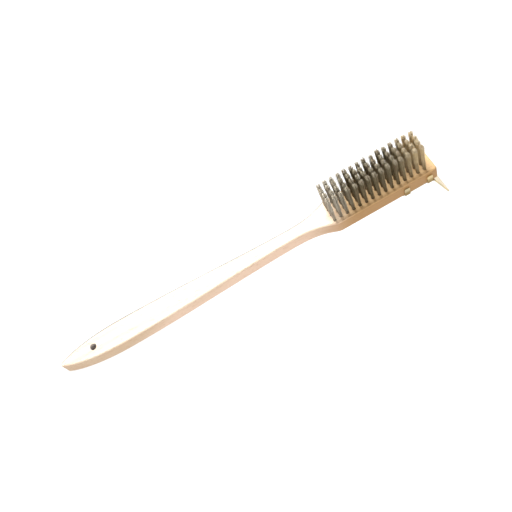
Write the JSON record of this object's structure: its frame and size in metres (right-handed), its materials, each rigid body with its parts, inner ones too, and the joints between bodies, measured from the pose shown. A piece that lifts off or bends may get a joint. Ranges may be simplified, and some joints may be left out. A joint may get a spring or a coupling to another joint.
{
  "type": "wire scratch brush",
  "caption": "Long wooden-handled wire scratch brush: upright wire tufts on a straight head, a bent steel scraper blade at its end and a hanging hole in the butt.",
  "frame": {"origin": "on the axis of the hanging hole, half way through the wood's thickness", "axes": "+X along the handle towards the end of the head, +Z the way the bristles point, +Y across the brush"},
  "size_m": [0.5134, 0.0432, 0.1052],
  "materials": {
    "beech_wood": "satin",
    "bristle_wire": "bright drawn wire, aged",
    "anchor_steel": "plain",
    "sheet_steel": "rolled sheet, warm",
    "screw_steel": "zinc plated"
  },
  "bodies": {
    "root": {"handle_block": "beech_wood", "scraper_plate": "sheet_steel", "scraper_screws": "screw_steel", "bristle_row_01": "bristle_wire", "bristle_row_02": "bristle_wire", "bristle_row_03": "bristle_wire", "bristle_row_04": "bristle_wire", "bristle_row_05": "bristle_wire", "bristle_row_06": "bristle_wire", "bristle_row_07": "bristle_wire", "bristle_row_08": "bristle_wire", "bristle_row_09": "bristle_wire", "bristle_row_10": "bristle_wire", "bristle_row_11": "bristle_wire", "bristle_row_12": "bristle_wire", "bristle_row_13": "bristle_wire", "bristle_row_14": "bristle_wire", "bristle_row_15": "bristle_wire", "anchor_row_01": "anchor_steel", "anchor_row_02": "anchor_steel", "anchor_row_03": "anchor_steel", "anchor_row_04": "anchor_steel", "anchor_row_05": "anchor_steel", "anchor_row_06": "anchor_steel", "anchor_row_07": "anchor_steel", "anchor_row_08": "anchor_steel", "anchor_row_09": "anchor_steel", "anchor_row_10": "anchor_steel", "anchor_row_11": "anchor_steel", "anchor_row_12": "anchor_steel", "anchor_row_13": "anchor_steel", "anchor_row_14": "anchor_steel", "anchor_row_15": "anchor_steel"}
  },
  "joints": []
}
